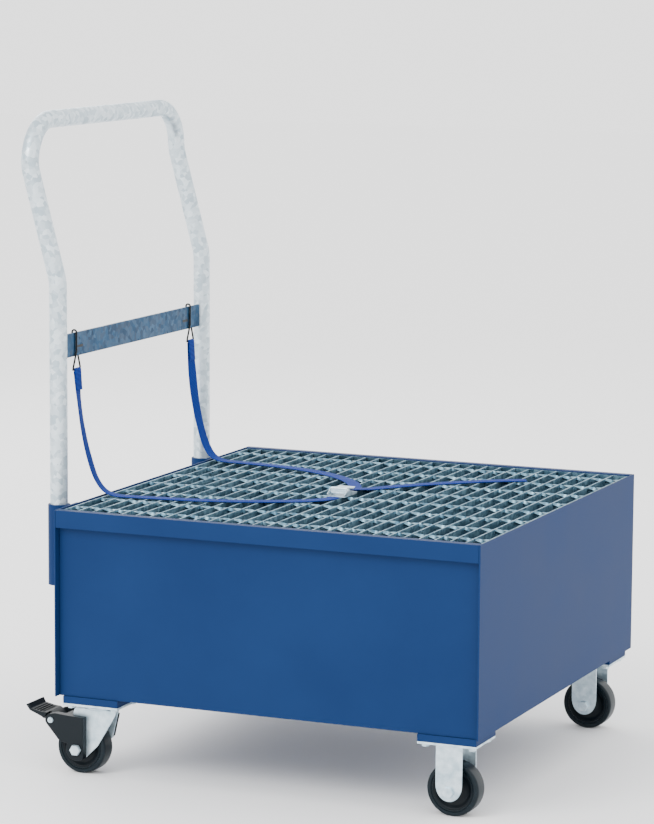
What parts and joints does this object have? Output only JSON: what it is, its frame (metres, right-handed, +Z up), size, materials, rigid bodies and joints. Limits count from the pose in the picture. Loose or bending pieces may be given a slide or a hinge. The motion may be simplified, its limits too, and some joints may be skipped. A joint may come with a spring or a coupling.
{
  "type": "drum dolly",
  "caption": "Steel spill sump on castors with a lift-out grating, a tubular push handle and a webbing drum strap with a cam buckle.",
  "frame": {"origin": "centre of the footprint without the strap, on the floor", "axes": "+Z up, +X away from the push handle, +Y across the dolly"},
  "size_m": [0.9768, 0.87, 1.2418],
  "materials": {
    "blue_paint": "semi-gloss powder coat",
    "galvanised_steel": "dull hot-dip zinc",
    "galvanised_tube": "bright galvanised",
    "zinc_plate": "bright zinc plate",
    "black_rubber": "moulded, slightly glossy",
    "black_plastic": "moulded, fine grain",
    "black_wire": "black dip coat",
    "blue_webbing": "woven polyester webbing"
  },
  "bodies": {
    "chassis": {"sump_panel_r": "blue_paint", "sump_panel_l": "blue_paint", "sump_end_plate_handle": "blue_paint", "sump_end_plate_front": "blue_paint", "sump_floor": "blue_paint", "grating_ledge_r": "blue_paint", "grating_ledge_l": "blue_paint", "handle_socket_r": "blue_paint", "handle_socket_l": "blue_paint", "socket_spacer_r": "blue_paint", "socket_spacer_l": "blue_paint", "foot_plate_swivel_r": "blue_paint", "foot_plate_swivel_l": "blue_paint", "foot_plate_fixed_r": "blue_paint", "foot_plate_fixed_l": "blue_paint", "strap_plate": "galvanised_steel", "handle_tube": "galvanised_tube", "handle_screw_r": "zinc_plate", "handle_screw_l": "zinc_plate", "castor_plate_swivel_r": "zinc_plate", "castor_plate_fixed_r": "zinc_plate", "castor_fork_fixed_r": "zinc_plate", "axle_bolt_fixed_r": "zinc_plate", "swivel_race_swivel_r": "zinc_plate", "kingpin_swivel_r": "zinc_plate", "castor_plate_swivel_l": "zinc_plate", "castor_plate_fixed_l": "zinc_plate", "castor_fork_fixed_l": "zinc_plate", "axle_bolt_fixed_l": "zinc_plate", "swivel_race_swivel_l": "zinc_plate", "kingpin_swivel_l": "zinc_plate", "strap_hook_r": "black_wire", "strap_hook_l": "black_wire", "strap_short": "blue_webbing", "strap_long": "blue_webbing"},
    "grating": {"grating": "galvanised_steel", "buckle_frame": "zinc_plate", "buckle_pin": "zinc_plate", "strap_tail": "blue_webbing"},
    "buckle_lever": {"buckle_lever": "zinc_plate"},
    "swivel_r": {"castor_fork_swivel_r": "zinc_plate", "brake_housing_swivel_r": "black_plastic", "pedal_pin_swivel_r": "zinc_plate", "axle_bolt_swivel_r": "zinc_plate"},
    "wheel_swivel_r": {"wheel_tyre_swivel_r": "black_rubber", "wheel_hub_swivel_r": "black_plastic"},
    "wheel_fixed_r": {"wheel_tyre_fixed_r": "black_rubber", "wheel_hub_fixed_r": "black_plastic"},
    "brake_pedal_r": {"brake_pedal_swivel_r": "black_plastic"},
    "swivel_l": {"castor_fork_swivel_l": "zinc_plate", "brake_housing_swivel_l": "black_plastic", "pedal_pin_swivel_l": "zinc_plate", "axle_bolt_swivel_l": "zinc_plate"},
    "wheel_swivel_l": {"wheel_tyre_swivel_l": "black_rubber", "wheel_hub_swivel_l": "black_plastic"},
    "wheel_fixed_l": {"wheel_tyre_fixed_l": "black_rubber", "wheel_hub_fixed_l": "black_plastic"},
    "brake_pedal_l": {"brake_pedal_swivel_l": "black_plastic"}
  },
  "joints": [
    {"name": "grating_lift", "type": "slide", "parent": "chassis", "child": "grating", "axis": [0, 0, 1], "range_m": [0, 0.1], "deforming": ["strap_short", "strap_long"]},
    {"name": "buckle_lever_press", "type": "hinge", "parent": "grating", "child": "buckle_lever", "pos_m": [0.05343, -0.05, 0.519], "axis": [1, 0, 0], "range_deg": [0, 35], "stiffness_Nm_per_rad": 0.2},
    {"name": "swivel_r_turn", "type": "hinge", "parent": "chassis", "child": "swivel_r", "pos_m": [-0.29357, -0.373, 0.13], "axis": [0, 0, 1], "continuous": true},
    {"name": "wheel_swivel_r_roll", "type": "hinge", "parent": "swivel_r", "child": "wheel_swivel_r", "pos_m": [-0.32958, -0.373, 0.05], "axis": [0, 1, 0], "continuous": true},
    {"name": "brake_pedal_r_press", "type": "hinge", "parent": "swivel_r", "child": "brake_pedal_r", "pos_m": [-0.38357, -0.373, 0.1023], "axis": [0, -1, 0], "range_deg": [0, 22]},
    {"name": "wheel_fixed_r_roll", "type": "hinge", "parent": "chassis", "child": "wheel_fixed_r", "pos_m": [0.42342, -0.373, 0.05], "axis": [0, 1, 0], "continuous": true},
    {"name": "swivel_l_turn", "type": "hinge", "parent": "chassis", "child": "swivel_l", "pos_m": [-0.29357, 0.373, 0.13], "axis": [0, 0, 1], "continuous": true},
    {"name": "wheel_swivel_l_roll", "type": "hinge", "parent": "swivel_l", "child": "wheel_swivel_l", "pos_m": [-0.32958, 0.373, 0.05], "axis": [0, 1, 0], "continuous": true},
    {"name": "brake_pedal_l_press", "type": "hinge", "parent": "swivel_l", "child": "brake_pedal_l", "pos_m": [-0.38357, 0.373, 0.1023], "axis": [0, -1, 0], "range_deg": [0, 22]},
    {"name": "wheel_fixed_l_roll", "type": "hinge", "parent": "chassis", "child": "wheel_fixed_l", "pos_m": [0.42342, 0.373, 0.05], "axis": [0, 1, 0], "continuous": true}
  ]
}
